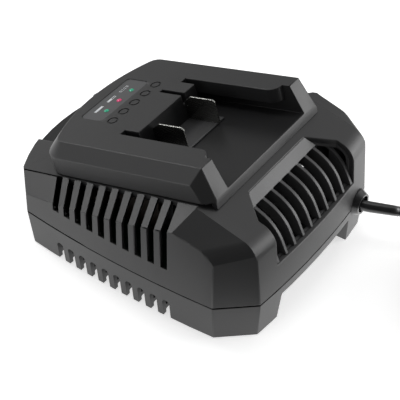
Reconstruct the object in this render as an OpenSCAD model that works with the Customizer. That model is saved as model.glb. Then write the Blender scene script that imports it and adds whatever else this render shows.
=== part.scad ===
// Desktop charger for slide-on tool batteries, as an assembly of separate pieces.
// X runs from the rear to the louvred front, Z is up, and the origin is at the
// middle of the footprint on the table.

/* [Body] */
// Length of the body at the parting line
body_l = 158; // [150:1:185]
// Width of the body at the parting line
body_w = 126; // [118:1:145]
// Height of the dock's top front edge above the table
body_h = 81; // [78:0.5:92]
// Height of the parting line between the two shells
parting_z = 22; // [20:0.5:25]
// Wall thickness of the two shells
wall = 2.6; // [2:0.1:3.2]
// Distance of the widest section in front of the middle
widest_x = 14; // [0:1:25]
// Plan radius of the bowed long sides
side_bow_r = 575; // [400:5:1200]
// Plan radius of the bowed front face
front_bow_r = 400; // [300:5:1200]
// Plan radius of the rounded rear face
rear_bow_r = 77; // [70:1:120]
// Length of the front corner chamfers along the body
front_chamfer_l = 19.5; // [14:0.5:24]
// Width of the front corner chamfers across the body
front_chamfer_w = 16; // [12:0.5:20]
// Length of the rear corner chamfers along the body
rear_chamfer_l = 27; // [22:0.5:32]
// Width of the rear corner chamfers across the body
rear_chamfer_w = 18; // [14:0.5:22]
// Inward draft of the lower shell from the parting line to the table
base_draft = 1.8; // [0.5:0.1:3]
// Lean of the front face in degrees
front_lean = 4; // [0:0.5:8]
// Inward lean of the upper shell's sides and corners for each millimetre of height
upper_draft = 0.036; // [0:0.002:0.06]
// Slope of the nose between the dock and the front face in degrees
nose_slope = 14.4; // [8:0.2:20]
// Radius of the rounded edge between nose and front face
shoulder_r = 10; // [5:0.5:16]
// Half width at which the side slopes meet the tilted top
crease_y = 47; // [46.5:0.5:50]
// Depth of the side slopes below the tilted top
slope_drop = 6.7; // [4:0.1:9]
// Sideways tilt of the facets between nose and side slopes in degrees
nose_side_tilt = 30; // [24:0.5:34]
// Width and depth of the dark joint lines
seam = 0.5; // [0.3:0.05:0.7]

// Width of the recess behind the dock
recess_w = 44; // [36:0.5:48]
// Depth of the recess behind the dock
recess_d = 3; // [2:0.25:4]

/* [Dock] */
// Tilt of the battery dock in degrees
tilt = 16; // [12:0.5:20]
// Distance of the dock's top front edge in front of the middle
dock_x = 39; // [34:0.5:44]
// Length of the dock's top from front edge to rear edge
dock_l = 98.3; // [94:0.1:104]
// Width of the dock over its sides
dock_w = 92; // [90:0.5:93]
// Height of the dock above the tilted top of the body
dock_t = 16; // [15.5:0.25:18]
// Wall thickness of the dock cover
dock_wall = 2.4; // [2:0.1:3]
// Width of the bevel along the dock's sides and rear
dock_bevel = 6; // [4:0.25:7]
// Plan radius of the dock's rear edge
dock_rear_r = 94; // [80:1:180]
// Radius of the dock's rear corners
dock_corner_r = 12; // [9:0.1:14]
// Forward reach of the sloping dock ends
dock_end_run = 5; // [3:0.25:6]
// Depth of the battery channel below the dock's top
channel_d = 14.5; // [13.5:0.25:15]
// Width of the gap between the two rail lips
rail_gap = 52.8; // [50:0.1:55]
// Width of the battery channel below the rail lips
groove_w = 64; // [62:0.1:67]
// Thickness of the rail lips
lip_t = 7.5; // [6:0.25:8.5]
// Distance from the dock's front edge to the rail lips' ends
lip_start = 4.2; // [3:0.1:6]
// Rounding of the rail lips' front corners
lip_round = 5.4; // [2:0.1:5.5]
// Distance from the dock's front edge to the contact block
block_u = 50.4; // [48:0.2:54]
// Distance from the dock's front edge to the grooves' closed ends
groove_u = 59; // [57:0.2:60]
// Width of the contact block
block_w = 45.2; // [43:0.1:47]
// Depth of the front skirt below the dock's top
skirt_d = 19.7; // [19:0.1:21]

/* [Contacts] */
// Distance between the two contact blades
blade_gap = 25.4; // [22:0.1:28]
// Thickness of a contact blade
blade_t = 0.8; // [0.6:0.1:1.2]
// Distance from the dock's front edge to the blades' tips
blade_u = 31; // [27:0.2:34]
// Height of the pad under the blades
pad_t = 1; // [0.8:0.1:2]

/* [Indicator panel] */
// Length of the indicator label along the dock
label_l = 14; // [12:0.25:15]
// Width of the indicator label across the dock
label_w = 38.4; // [34:0.2:42]
// Distance from the dock's rear edge to the label
label_margin = 7.3; // [5:0.1:9]
// Depth of the pocket that holds the label
label_pocket = 1; // [0.8:0.05:1.2]
// Depth of the label's face below the dock's top
label_sink = 0.35; // [0.2:0.05:0.5]
// Diameter of an indicator light
led_d = 2.6; // [2.2:0.1:3.4]
// Distance between the indicator lights
led_pitch = 10; // [9:0.1:12]
// Distance between the round marks beside the label
mark_pitch = 8.6; // [8:0.1:9.5]
// Outer radius of a round mark
mark_r = 2.8; // [2:0.1:3.2]

/* [Vents] */
// Distance between neighbouring side vents
vent_pitch = 7.2; // [6.5:0.05:7.4]
// Width of a side vent
vent_w = 3.8; // [3:0.1:4]
// Number of vents in each side row
vent_n = 10; // [8:1:10]
// Height of the side vents' lower ends above the table
vent_z = 33.8; // [31:0.2:36]
// Rearward rake of the middle vents across the side slopes
vent_rake = 6.1; // [3:0.1:8]
// Difference in rake between the rearmost and the foremost vent
rake_change = 4; // [0:0.25:5]
// Height of the arched base vents above the table
base_vent_z = 12.5; // [11:0.25:14]
// Number of louvre fins
fin_n = 10; // [8:1:10]
// Distance between neighbouring louvre fins
fin_pitch = 7.2; // [6.5:0.05:7.3]
// Thickness of a louvre fin
fin_t = 1.9; // [1.5:0.1:2.5]
// Depth of a louvre fin
fin_depth = 6; // [4:0.25:8]
// Radius of the bend in the louvre fins
fin_r = 22; // [14:0.5:24]
// Height of the louvre window's sill above the table
sill_z = 37.3; // [36:0.1:39]
// Width of the louvre window at the front
window_w = 67.6; // [66:0.2:72]
// Width of the louvre window at its rear edge
window_top_w = 47; // [44:0.2:50]
// Length over which the window widens
window_knee = 12.2; // [8:0.2:16]
// Depth of the ledge at the window's top
ledge_drop = 5.6; // [4.5:0.1:6]

/* [Base] */
// Height of the notch between the front feet
notch_h = 15.9; // [14:0.1:17]
// Width of the notch between the front feet
notch_w = 61; // [54:0.5:66]
// Depth of the notch between the front feet
notch_d = 15; // [12:0.5:17]
// Height of the floor plate's underside above the table
floor_z = 3; // [2.5:0.1:4]
// Radius of a rubber foot
foot_r = 5; // [4:0.25:6]
// Height of the housing above the table on its rubber feet
foot_gap = 0.6; // [0.4:0.1:1]

/* [Cooling fan] */
// Width of the fan frame
fan_w = 40; // [38:1:40]
// Depth of the fan frame
fan_t = 10; // [8:0.5:10]
// Radius of the fan's shaft
shaft_r = 1.5; // [1.2:0.1:2]
// Running clearance of the shaft in the rotor, on the radius
shaft_gap = 0.05; // [0.02:0.01:0.08]
// Number of fan blades
fan_blades = 7; // [5:1:9]

/* [Circuit board] */
// Clearance at each end of the circuit board
board_clear = 2; // [1:0.1:3]
// Width of the circuit board
board_w = 92; // [84:1:94]
// Thickness of the circuit board
board_t = 1.6; // [1.2:0.1:2]
// Height of the circuit board above the floor plate
board_gap = 4; // [3:0.25:5]

/* [Parts on the board] */
// Length of the transformer's core
core_l = 34; // [28:1:38]
// Width of the transformer's winding
winding_w = 22; // [18:1:24]
// Radius of the bulk capacitor
bulk_r = 9; // [7:0.5:10]
// Radius of an output capacitor
output_r = 4.5; // [3.5:0.25:5]
// Height of an output capacitor
output_h = 18; // [14:1:20]
// Radius of the filter choke's ring
choke_ring = 5.5; // [4.5:0.25:6]
// Radius of the filter choke's winding
choke_r = 3.5; // [2.5:0.25:3.5]
// Length of the heat sink
sink_l = 38; // [30:1:40]
// Depth of the heat sink's fins
sink_d = 11; // [8:0.5:12]
// Width of a power transistor
transistor_w = 10; // [8:0.5:11]
// Length of the fuse
fuse_l = 14; // [12:0.5:16]
// Width of the suppressor capacitor
suppressor_w = 16; // [12:0.5:18]

/* [Mains lead] */
// Diameter of the mains lead
cord_d = 5; // [4.6:0.1:5.2]
// Distance of the mains lead in from the side
cord_inset = 24.5; // [23:0.5:26]
// Radius of the lead gland's collar at the housing
gland_r = 6.8; // [6:0.1:7.5]

/* [Screws] */
// Radius of a housing screw's shank
screw_r = 1.5; // [1.3:0.1:1.8]
// Radius of a housing screw's head
screw_head_r = 2.8; // [2.5:0.1:3.2]
// Radius of a screw boss
boss_r = 4; // [3.6:0.1:4.5]

/* [Hidden] */
$fn = 48;

far = 400;
eps = 0.01;
mould_gap = 0.1;
dark = "#3a3c3f";
darker = "#2c2e30";
black = "#161718";
copper = "#b87333";
steel = "#b9bcc0";
board_green = "#2f6b45";

// Places across the bowed faces
y_steps = [body_w / 2 + 2, 51.5, 41, 31, 21, 10.5, 0];
nose_y = concat(y_steps, [for (i = [len(y_steps) - 2:-1:0]) -y_steps[i]]);
base_top = floor_z + 2.5;

function unit(v) = v / norm(v);
function mixed(a, b, t) = unit((1 - t) * a + t * b);
function side_y(x) = body_w / 2 - pow(x - widest_x, 2) / (2 * side_bow_r);
function front_x(y) = body_l / 2 - pow(y, 2) / (2 * front_bow_r);
function rear_x(y) = -body_l / 2 + pow(y, 2) / (2 * rear_bow_r);
function steps(a, b, n) = [for (i = [0:n]) a + (b - a) * i / n];
function arc(c, r, a, b, n) = [for (t = steps(a, b, n)) c + r * [cos(t), sin(t)]];
function mirrored(path) = concat(path, [for (i = [len(path) - 1:-1:0]) [path[i][0], -path[i][1]]]);
function edge_out(ring, i) =
  let (n = len(ring), e = unit(ring[(i + 1) % n] - ring[i % n])) [e[1], -e[0]];
function inset(ring, d) = [
  for (i = [0:len(ring) - 1])
    let (a = edge_out(ring, i + len(ring) - 1), b = edge_out(ring, i))
    ring[i] - d * (a + b) / (1 + a * b)
];
function raised(ring, z) = [for (p = ring) [p[0], p[1], z]];

// Plan at the parting line, from the far front corner round the rear
corner_x = body_l / 2 - front_chamfer_l;
corner_y = body_w / 2 - front_chamfer_w;
tail_x = -body_l / 2 + rear_chamfer_l;
tail_y = body_w / 2 - rear_chamfer_w;
front_edge = [for (y = steps(-corner_y, corner_y, 8)) [front_x(y), y]];
far_side = [for (x = steps(corner_x, tail_x, 8)) [x, side_y(x)]];
rear_edge = [for (y = steps(tail_y, -tail_y, 10)) [rear_x(y), y]];
near_side = [for (x = steps(tail_x, corner_x, 8)) [x, -side_y(x)]];
outline = concat(front_edge, far_side, rear_edge, near_side);
blunt_far = [for (x = steps(body_l / 2 + 1, tail_x, 10)) [x, side_y(x)]];
blunt_near = [for (x = steps(tail_x, body_l / 2 + 1, 10)) [x, -side_y(x)]];
blunt_outline = concat(blunt_far, rear_edge, blunt_near);

// Nose profile in the X-Z plane
skirt_u = dock_end_run + 0.2;
nose_back = -far / 4;
lean_out = [cos(front_lean), sin(front_lean)];
slope_out = [sin(nose_slope), cos(nose_slope)];
lean_point = [body_l / 2, parting_z];
nose_top = world([skirt_u, 0, -skirt_d]);
nose_point = [nose_top[0], nose_top[2]];
function meet(n1, a, n2, b) =
  [a * n2[1] - b * n1[1], b * n1[0] - a * n2[0]] / (n1[0] * n2[1] - n1[1] * n2[0]);
function on_lean(z, d) = [(lean_point * lean_out - d - z * lean_out[1]) / lean_out[0], z];
function slope_z(x, d) = (nose_point * slope_out - d - x * slope_out[0]) / slope_out[1];
function nose_profile(d) =
  let (
    r = shoulder_r - d,
    c = meet(lean_out, lean_point * lean_out - d - r, slope_out, nose_point * slope_out - d - r)
  )
  concat(
    [[nose_back, 0], on_lean(0, d)],
    arc(c, r, front_lean, 90 - nose_slope, 8),
    [[nose_back, slope_z(nose_back, d)]]
  );

// Side slopes, front chamfers and the fan of facets between them
slope_n = unit(tilted_dir([0, -slope_drop, body_w / 2 - crease_y]));
nose_side_n = [
  sin(nose_slope) * cos(nose_side_tilt), -sin(nose_side_tilt), cos(nose_slope) * cos(nose_side_tilt)
];
chamfer_run = [front_x(corner_y) - corner_x, side_y(corner_x) - corner_y];
chamfer_n = unit([chamfer_run[1], -chamfer_run[0], upper_draft * norm(chamfer_run)]);
function chamfer_y(x) = side_y(corner_x) - (x - corner_x) * chamfer_run[1] / chamfer_run[0];
function bow_at(y) = y * y / (2 * front_bow_r);
function lean_in(z) = upper_draft * (z - parting_z);
crease_point = world([0, -crease_y, -dock_t]);
function slope_foot(x) = (crease_point * slope_n - [x, -side_y(x), 0] * slope_n) / slope_n[2];
top_out = [-sin(tilt), cos(tilt)];
crest = meet(
  top_out, [crease_point[0], crease_point[2]] * top_out,
  slope_out, nose_point * slope_out - bow_at(crease_y) * slope_out[0]
);
shoulder_c = meet(
  lean_out, lean_point * lean_out - shoulder_r, slope_out, nose_point * slope_out - shoulder_r
);
shoulder_y = (crease_y + chamfer_y(shoulder_c[0] + shoulder_r - bow_at(crease_y))) / 2;
shoulder_step = (90 - nose_slope - front_lean) / 8;
shoulder_spots = [
  for (k = [0.5:7.5])
    let (a = front_lean + k * shoulder_step, r = shoulder_r * cos(shoulder_step / 2))
    [shoulder_c[0] + r * cos(a) - bow_at(shoulder_y), -shoulder_y, shoulder_c[1] + r * sin(a)]
];
crest_spot = [crest[0], -shoulder_y, crest[1]];
function reach(points, n) = max([for (p = points) p * n]);
corner_planes = concat(
  [[slope_n, crease_point * slope_n]],
  [
    for (t = [1, 2])
      let (n = mixed(slope_n, nose_side_n, t / 3))
      [n, [crest[0], -crease_y - t * (shoulder_y - crease_y) / 3, crest[1]] * n]
  ],
  [
    for (t = steps(0, 0.86, 5))
      let (n = mixed(nose_side_n, chamfer_n, t))
      [n, reach(concat([crest_spot], shoulder_spots), n)]
  ],
  [[chamfer_n, [corner_x, -side_y(corner_x), parting_z] * chamfer_n]]
);

// Louvre window, and the fins' front edge as two lines with a bend between them
window_x = nose_point[0] + 3.9;
ledge_z = slope_z(window_x, 0);
ledge_end = [window_x + 0.8 * ledge_drop, ledge_z - ledge_drop];
fin_foot = on_lean(sill_z, 1.7);
fin_low = sill_z - 2.5;
fin_back = window_x - 4;
fin_lines = [22, 66];
fin_out = [for (a = fin_lines) [sin(a), cos(a)]];
function fin_edge(d) =
  let (upper = ledge_end * fin_out[0] - d, lower = fin_foot * fin_out[1] - d)
  concat(
    [[(lower - fin_low * fin_out[1][1]) / fin_out[1][0], fin_low]],
    arc(
      meet(fin_out[0], upper - (fin_r - d), fin_out[1], lower - (fin_r - d)),
      fin_r - d, 90 - fin_lines[1], 90 - fin_lines[0], 8
    ),
    [[fin_back, (upper - fin_back * fin_out[0][0]) / fin_out[0][1]]]
  );

// Dock
dock_rear_c = dock_rear_r - dock_l - dock_bevel;
dock_corner = [
  dock_rear_c - sqrt(pow(dock_rear_r - dock_corner_r, 2) - pow(dock_w / 2 - dock_corner_r, 2)),
  dock_w / 2 - dock_corner_r
];
dock_turn = atan2(dock_corner[1], dock_corner[0] - dock_rear_c);
label_u = -dock_l + label_margin + label_l / 2;
led_u = label_u + 2.7;
icon_u = label_u - 2.4;
mark_u = label_u + 12.9;
ear_u = -dock_l + 14;
icon_t = 0.2;
led_spots = [-led_pitch, 0, led_pitch];
indicator_w = -8;

// Screws, board and fan
screw_spots = [[corner_x - 7.5, corner_y - 1], [tail_x - 2, tail_y - 2]];
foot_x = [35 - body_l / 2, body_l / 2 - 43];
foot_y = 23 - body_w / 2;
post_h = 14;
cradle_h = 2;
cradle_t = 1.5;
fan_z = base_top + cradle_h + fan_w / 2;
notch_x = body_l / 2 - notch_d;
fin_room = (ledge_end * fin_out[0] - fin_depth - (fan_z + fan_w / 2 + 1) * fin_out[0][1]) / fin_out[0][0];
fan_x = min(notch_x - wall - cradle_t - 0.3, fin_room) - fan_t / 2;
board_front = fan_x - fan_t / 2 - cradle_t - board_clear;
board_rear = screw_spots[1][0] + boss_r + board_clear;
board_l = board_front - board_rear;
board_x = (board_front + board_rear) / 2;
board_z = base_top + board_gap;
board_top = board_z + board_t;
board_spots = [
  for (sx = [-1, 1])
    for (sy = [-1, 1])
      [board_x + sx * (board_l / 2 - 4), sy * (board_w / 2 - 4)]
];
fan_bore_r = fan_w / 2 - 1.5;
rotor_r = fan_bore_r - 1;
hub_r = 8;

// Mains lead: from the housing to the coil, and from the coil to the plug
cord_y = body_w / 2 - cord_inset;
gland_x = front_x(cord_y) - 1;
hole_r = gland_r - 1.8;
relief_spans = 3;
coil_r = 29;
coil_half = 7.5;
lead_offsets = [
  [-2.15, 0, 22], [3.85, 0.5, 20.8], [11.85, 4.1, 20.1], [19.85, 8.3, 19.2], [27.85, 12.5, 18.2],
  [35.85, 16.3, 17], [43.85, 19.7, 15.6], [52.85, 22.9, 14], [61.85, 25.5, 12.5]
];
tail_offsets = [
  [67.65, -29.7, 2.5], [57.05, -20.6, 3.2], [53.85, -6.5, 5.5], [59.25, 5.7, 9.5],
  [70.55, 12.2, 14], [83.35, 10, 18.5], [91.05, 1.5, 22], [92.85, -6.5, 23]
];
gland_at = [gland_x, cord_y, 0];
coil_c = gland_at + [73.85, -6.5, 0];
lead_route = [for (p = lead_offsets) gland_at + [p[0], p[1], p[2] * parting_z / lead_offsets[0][2]]];
tail_route = [for (p = tail_offsets) gland_at + p];
plug_l = 26;
plug_w = 24;
plug_h = 16;
plug_neck = 12;

// The tilted frame: U forward along the dock's top, W away from it
module tilted() {
  translate([dock_x, 0, body_h])
    rotate([0, -tilt, 0])
      children();
}
function world(p) =
  [dock_x + p[0] * cos(tilt) - p[2] * sin(tilt), p[1], body_h + p[0] * sin(tilt) + p[2] * cos(tilt)];
function tilted_dir(v) = [v[0] * cos(tilt) - v[2] * sin(tilt), v[1], v[0] * sin(tilt) + v[2] * cos(tilt)];

// A solid through rings that all have the same number of points
module loft(rings) {
  n = len(rings[0]);
  m = len(rings);
  points = [for (ring = rings) each ring];
  base = [for (i = [0:n - 1]) i];
  lid = [for (i = [n - 1:-1:0]) (m - 1) * n + i];
  walls = [
    for (k = [0:m - 2])
      for (i = [0:n - 1])
        let (j = (i + 1) % n)
        [k * n + i, (k + 1) * n + i, (k + 1) * n + j, k * n + j]
  ];
  polyhedron(points, concat([base], walls, [lid]));
}

// Everything on the outer side of a plane
module beyond(point, normal) {
  n = unit(normal);
  translate(point)
    rotate([0, acos(n[2]), atan2(n[1], n[0])])
      translate([-far / 2, -far / 2, 0])
        cube([far, far, far / 2]);
}

// Outline of a box with rounded corners, seen from above
function rounded_box(l, w, r = 2.2) = [
  for (q = [0:3])
    let (sx = q % 3 == 0 ? 1 : -1, sy = q < 2 ? 1 : -1)
    each arc([sx * (l / 2 - r), sy * (w / 2 - r)], r, 90 * q, 90 * q + 90, 4)
];

// A box given by its two far corners
module block(a, b) {
  translate(a) cube(b - a);
}

// A plate across the width, from a profile in the X-Z plane
module profile_plate(points, y, t) {
  translate([0, y + t / 2, 0])
    rotate([90, 0, 0])
      linear_extrude(t) polygon(points);
}

// A smooth line through chosen points, each span in n steps
function bend(a, b, c, d, t) =
  0.5 * (2 * b + (c - a) * t + (2 * a - 5 * b + 4 * c - d) * t * t + (3 * b - a - 3 * c + d) * t * t * t);
function smooth(route, n) =
  let (m = len(route), ends = concat([2 * route[0] - route[1]], route, [2 * route[m - 1] - route[m - 2]]))
  concat(
    [for (i = [0:m - 2]) for (k = [0:n - 1]) bend(ends[i], ends[i + 1], ends[i + 2], ends[i + 3], k / n)],
    [route[m - 1]]
  );
function heading(path, i) = unit(path[min(i + 1, len(path) - 1)] - path[max(i - 1, 0)]);
function tube_ring(c, dir, r, sides, plane) =
  let (across = unit(cross(plane, dir)), up = cross(dir, across))
  [for (k = [0:sides - 1]) c + r * (cos(360 * k / sides) * across + sin(360 * k / sides) * up)];

// A tube along a path, tapering from r1 to r2, that never points along the plane's normal
module tube(path, r1, r2, sides = 10, plane = [0, 0, 1]) {
  last = len(path) - 1;
  loft([for (i = [0:last]) tube_ring(path[i], heading(path, i), r1 + (r2 - r1) * i / last, sides, plane)]);
}

// Solid nose and front face, moved inward by d
module nose(d) {
  profile = nose_profile(d);
  loft([for (y = nose_y) [for (p = profile) [p[0] - y * y / (2 * front_bow_r), y, p[1]]]]);
}

// Everything outside one side slope, its front chamfer and the facets between
module outside_corner(d) {
  for (p = corner_planes)
    beyond((p[1] - d) * p[0], p[0]);
}

// Solid shape of the upper shell, moved inward by d, from height z up
module upper_form(d, z = parting_z) {
  difference() {
    intersection() {
      loft([for (h = [z, body_h + 1]) raised(inset(blunt_outline, d + lean_in(h)), h)]);
      nose(d);
      tilted()
        block([-far / 2, -far / 4, -far / 2], [far / 2, far / 4, -dock_t - d]);
    }
    both_sides()
      outside_corner(d);
  }
}

// Solid shape of the lower shell, moved inward by d, between two heights
function draft_at(z) = base_draft * (parting_z - z) / (parting_z - foot_gap);
module lower_form(d, z1, z2) {
  loft([for (z = [z1, z2]) raised(inset(outline, d + draft_at(z)), z)]);
}

// Window in the nose, made wider by g all round
module window(g) {
  rear = window_top_w / 2 + g;
  front = window_w / 2 + g;
  translate([0, 0, sill_z - g])
    linear_extrude(body_h)
      polygon([
        [window_x - g, -rear], [window_x + window_knee, -front], [body_l, -front],
        [body_l, front], [window_x + window_knee, front], [window_x - g, rear]
      ]);
}

module both_sides() {
  children();
  mirror([0, 1, 0])
    children();
}

function vent_x(k) = (k - (vent_n - 1) / 2) * vent_pitch + 0.9;

// Round hole for the mains lead, through both shells' front walls
module cord_hole() {
  translate([gland_x - 8, cord_y, parting_z])
    rotate([0, 90, 0])
      cylinder(h = 12, r = hole_r + mould_gap);
  translate([gland_x, cord_y, parting_z])
    rotate([0, 90, 0])
      cylinder(h = 8, r = gland_r + mould_gap);
}

module at_screws() {
  both_sides()
    for (p = screw_spots)
      translate([p[0], p[1], 0])
        children();
}

// Joint line round the shells, between two heights
module seam_ring(z1, z2) {
  translate([0, 0, z1])
    linear_extrude(z2 - z1)
      difference() {
        square(far, center = true);
        polygon(inset(outline, seam));
      }
}

module lower_shell() {
  vent_half = vent_w / 2 + 0.1;
  color(dark)
    difference() {
      union() {
        difference() {
          lower_form(0, foot_gap, parting_z);
          lower_form(wall, base_top, parting_z + 1);
          lower_form(wall, foot_gap - 1, floor_z);
        }
        intersection() {
          lower_form(0, foot_gap, parting_z);
          block([notch_x - wall, -notch_w / 2 - wall, 0], [body_l, notch_w / 2 + wall, notch_h + wall]);
        }
        translate([0, 0, parting_z - 1])
          linear_extrude(2.5)
            difference() {
              polygon(inset(outline, wall / 2 + mould_gap));
              polygon(inset(outline, wall - mould_gap));
            }
        at_screws()
          translate([0, 0, floor_z])
            cylinder(h = parting_z - floor_z, r = boss_r);
        for (p = board_spots)
          translate([p[0], p[1], floor_z])
            cylinder(h = board_z - floor_z, r = 3);
      }
      translate([notch_x, 0, 0])
        rotate([90, 0, 90])
          linear_extrude(body_l)
            polygon([
              [-notch_w / 2 - 1, 0], [notch_w / 2 + 1, 0],
              [notch_w / 2 - 0.5, notch_h], [-notch_w / 2 + 0.5, notch_h]
            ]);
      seam_ring(parting_z - seam / 2, parting_z + 2);
      both_sides()
        for (k = [0:vent_n - 1])
          translate([vent_x(k), -body_w / 2 + 10, base_vent_z - vent_half]) {
            block([-vent_half, -far / 2, -body_h], [vent_half, 0, 0]);
            rotate([90, 0, 0])
              cylinder(h = far / 2, r = vent_half);
          }
      at_screws() {
        cylinder(h = 3 * floor_z, r = screw_head_r + mould_gap);
        cylinder(h = body_h / 2, r = screw_r + mould_gap);
      }
      for (p = board_spots)
        translate([p[0], p[1], base_top])
          cylinder(h = board_z, r = 1);
      cord_hole();
    }
}

// Outline of the dock seen along W, moved inward by d
function dock_ring(d) =
  let (
    corner = arc(dock_corner, dock_corner_r - d, 90, dock_turn, 6),
    rear = arc([dock_rear_c, 0], dock_rear_r - d, dock_turn, 180, 8),
    half = concat([[skirt_u, dock_w / 2 - d]], corner, [for (i = [1:8]) rear[i]])
  )
  concat(half, [for (i = [len(half) - 2:-1:0]) [half[i][0], -half[i][1]]]);

// Solid shape of the dock above the tilted top, moved inward by d
module dock_form(d) {
  bevel_w = -dock_bevel - 0.4 * d;
  loft([
    raised(dock_ring(d), -dock_t), raised(dock_ring(d), bevel_w), raised(dock_ring(dock_bevel + 0.4 * d), -d)
  ]);
}

// Vent through a side wall and raked back across the side slope
module side_vent(k) {
  x = vent_x(k);
  half = vent_w / 2;
  rake = vent_rake - rake_change * (k / (vent_n - 1) - 0.5);
  kink = lean_in(slope_foot(x)) + seam - side_y(x);
  top = -dock_w / 2 - 0.8;
  translate([0, 0, vent_z])
    linear_extrude(body_h)
      polygon([
        [x - half, -body_w], [x + half, -body_w], [x + half, kink],
        [x + half - rake, top], [x - half - rake, top], [x - half, kink]
      ]);
  block([x - half, 0.9 - side_y(x), vent_z - 1.8], [x + half, wall + 3 - side_y(x), vent_z + 1]);
}

module upper_shell() {
  slab_y = recess_w / 2 + wall;
  slab_w = -dock_t - recess_d - wall;
  open_y = dock_w / 2 - dock_wall - 7;
  color(dark)
    difference() {
      union() {
        difference() {
          upper_form(0);
          upper_form(wall, parting_z - 1);
        }
        intersection() {
          upper_form(0);
          tilted()
            block([-far / 2, -slab_y, slab_w], [-dock_l + 10, slab_y, -dock_t]);
        }
        intersection() {
          upper_form(wall / 2);
          at_screws()
            cylinder(h = body_h, r = boss_r);
        }
      }
      translate([0, 0, parting_z - 1])
        linear_extrude(2.6)
          difference() {
            polygon(inset(outline, wall / 2));
            polygon(inset(outline, wall + 0.4));
          }
      tilted() {
        difference() {
          block([-far / 2, -recess_w / 2, -dock_t - recess_d], [-dock_l + 10, recess_w / 2, 0]);
          translate([0, 0, -body_h])
            linear_extrude(2 * body_h)
              polygon(dock_ring(0));
        }
        block([ear_u, -open_y, -dock_t - 2 * wall], [-4, open_y, 0]);
        both_sides()
          block([-far / 2, -crease_y - 0.8 * seam, -dock_t - seam], [ear_u, -crease_y + 0.8 * seam, 0]);
      }
      seam_ring(parting_z - 2, parting_z + seam / 2);
      window(0);
      both_sides()
        for (k = [0:vent_n - 1])
          side_vent(k);
      at_screws()
        cylinder(h = parting_z + post_h, r = screw_r + mould_gap / 2);
      cord_hole();
    }
}

// Space of the battery channel between the lips (top) and under them (below)
module channel_space() {
  gap_y = rail_gap / 2;
  groove_y = groove_w / 2;
  lip_end = -lip_start - lip_round;
  mouth = mirrored(concat(
    [[dock_w, groove_y], [-lip_start, groove_y]],
    arc([lip_end, gap_y + lip_round], lip_round, 0, -90, 5),
    [[-groove_u, gap_y]]
  ));
  difference() {
    union() {
      translate([0, 0, -lip_t])
        linear_extrude(body_h) polygon(mouth);
      block([-groove_u, -groove_y, -channel_d], [dock_w, groove_y, -lip_t + eps]);
    }
    block([-far / 2, -block_w / 2, -dock_w], [-block_u, block_w / 2, 1]);
  }
}

module dock_cover() {
  tub_u = -groove_u - dock_wall;
  tub_y = groove_w / 2 + dock_wall;
  skirt_y = dock_w / 2 - 3.6;
  post_spots = [[label_u, -13], [label_u, 13]];
  color(dark)
    difference() {
      tilted()
        difference() {
          union() {
            dock_form(0);
            block([skirt_u - dock_wall, -skirt_y, -skirt_d], [skirt_u, skirt_y, -channel_d]);
          }
          difference() {
            dock_form(dock_wall);
            block([tub_u, -tub_y, -dock_t - 1], [dock_w, tub_y, 0]);
            block([-lip_start - 2 * dock_wall, -dock_w, -dock_t - 1], [dock_w, dock_w, 0]);
            for (p = post_spots)
              translate([p[0], p[1], indicator_w])
                cylinder(h = dock_t, r = 2.2);
          }
          channel_space();
          translate([0, 0, -dock_t - 1])
            linear_extrude(1 + seam)
              difference() {
                square(far, center = true);
                polygon(dock_ring(1.6 * seam));
              }
          beyond([0, 0, 0], [channel_d, 0, dock_end_run]);
          both_sides()
            beyond([0, -dock_w / 2 + dock_bevel, 0], [0.64, -0.71, 0.29]);
          block([-block_u - 14, 11.6, -6], [-block_u + 1, 14.1, 1]);
          translate([label_u, 0, -label_pocket])
            linear_extrude(2)
              polygon(rounded_box(label_l, label_w));
          for (y = led_spots)
            translate([led_u, y, -dock_t / 2])
              cylinder(h = dock_t, r = led_d / 2 + mould_gap);
          for (k = [-2:2])
            translate([mark_u, mark_pitch * k, -seam])
              difference() {
                cylinder(h = 1, r = mark_r);
                translate([0, 0, -1])
                  cylinder(h = 3, r = mark_r - 0.8);
              }
          for (p = post_spots)
            translate([p[0], p[1], indicator_w - 1])
              cylinder(h = 6, r = 0.8);
          both_sides()
            blade_slot();
        }
      upper_form(0);
    }
}

// Slot in the channel floor that a contact blade's tail passes through
module blade_slot() {
  translate([-blade_u - 16, -blade_gap / 2 - blade_t, -far / 8])
    cube([10, 2 * blade_t, far / 8 - channel_d + 1]);
}

module front_louvre() {
  back = wall + mould_gap;
  flange = 1.6;
  inner_edge = fin_edge(fin_depth);
  fin = concat(fin_edge(0), [for (i = [len(inner_edge) - 1:-1:0]) inner_edge[i]]);
  ledge = [[window_x, ledge_z], [window_x - 2.5, ledge_z - 3.2], ledge_end - [2.4, 2.8], ledge_end];
  color(darker) {
    difference() {
      intersection() {
        upper_form(back);
        window(3);
      }
      upper_form(back + flange, parting_z - 1);
      window(0);
    }
    intersection() {
      union() {
        intersection() {
          window(-mould_gap);
          nose(mould_gap);
        }
        difference() {
          intersection() {
            window(2);
            upper_form(back);
          }
          upper_form(back + 2 * flange, parting_z - 1);
        }
      }
      union() {
        for (k = [0:fin_n - 1])
          profile_plate(fin, (k - (fin_n - 1) / 2) * fin_pitch, fin_t);
        profile_plate(ledge, 0, window_w);
      }
    }
  }
}

module status_label() {
  color("#5f6266")
    tilted()
      difference() {
        translate([label_u, 0, -label_pocket])
          linear_extrude(label_pocket - label_sink)
            polygon(rounded_box(label_l - 4 * mould_gap, label_w - 4 * mould_gap));
        for (y = led_spots)
          translate([led_u, y, -1])
            cylinder(h = 2, r = led_d / 2 + mould_gap);
        icon_places()
          block([-0.85, -3.15, -label_sink - icon_t], [0.85, 3.15, 1]);
      }
}

module icon_places() {
  for (y = led_spots)
    translate([icon_u, y, 0])
      children();
}

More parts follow.
